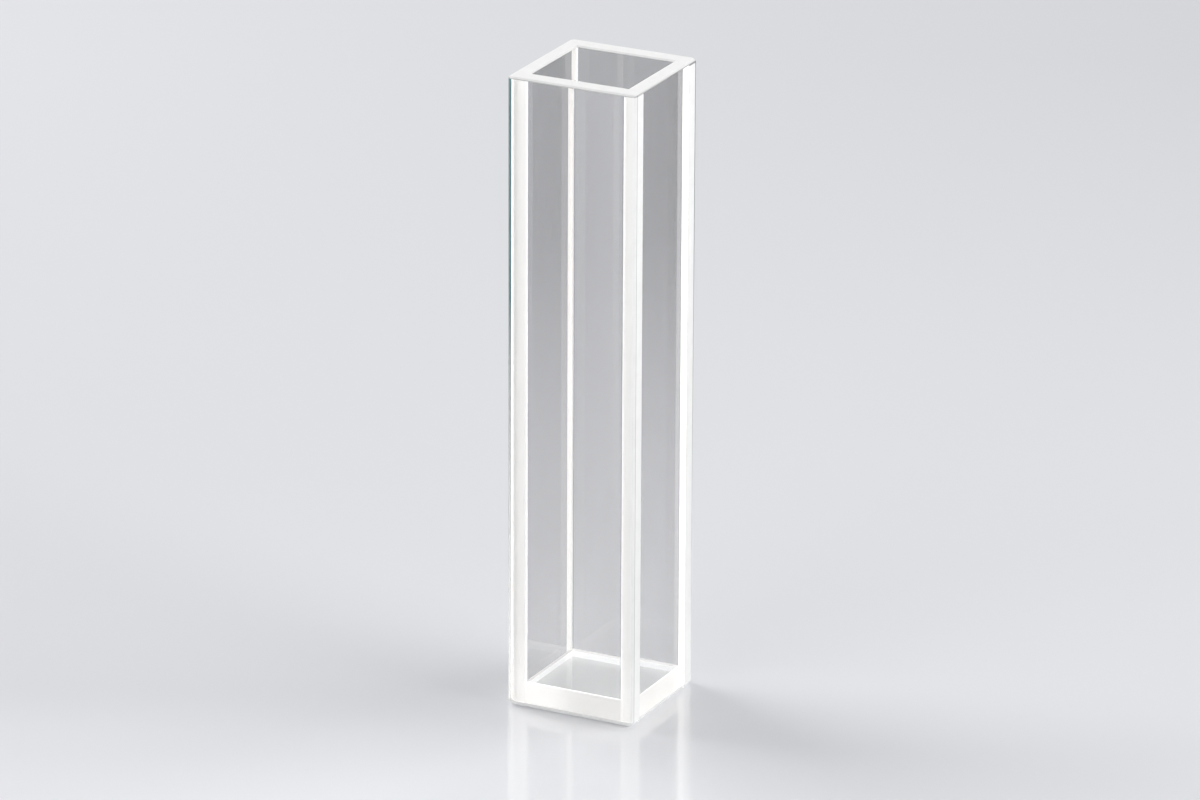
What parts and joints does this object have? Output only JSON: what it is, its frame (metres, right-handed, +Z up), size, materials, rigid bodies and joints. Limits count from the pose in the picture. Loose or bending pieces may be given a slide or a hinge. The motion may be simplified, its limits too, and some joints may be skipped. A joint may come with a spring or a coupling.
{
  "type": "cuvette",
  "caption": "Tall square glass cell, open at the top, that holds a liquid sample in a light beam between flat polished windows; the rim, joints and base edges are ground white.",
  "frame": {"origin": "middle of the underside, on the surface that the cell stands on", "axes": "+Z up through the open mouth, -Y out of the front window, +X out of the right side plate"},
  "size_m": [0.0126, 0.0126, 0.059],
  "materials": {
    "glass": "clear polished windows; ground white rim, joints and base edges"
  },
  "bodies": {
    "root": {"cuvette": "glass"}
  },
  "joints": []
}
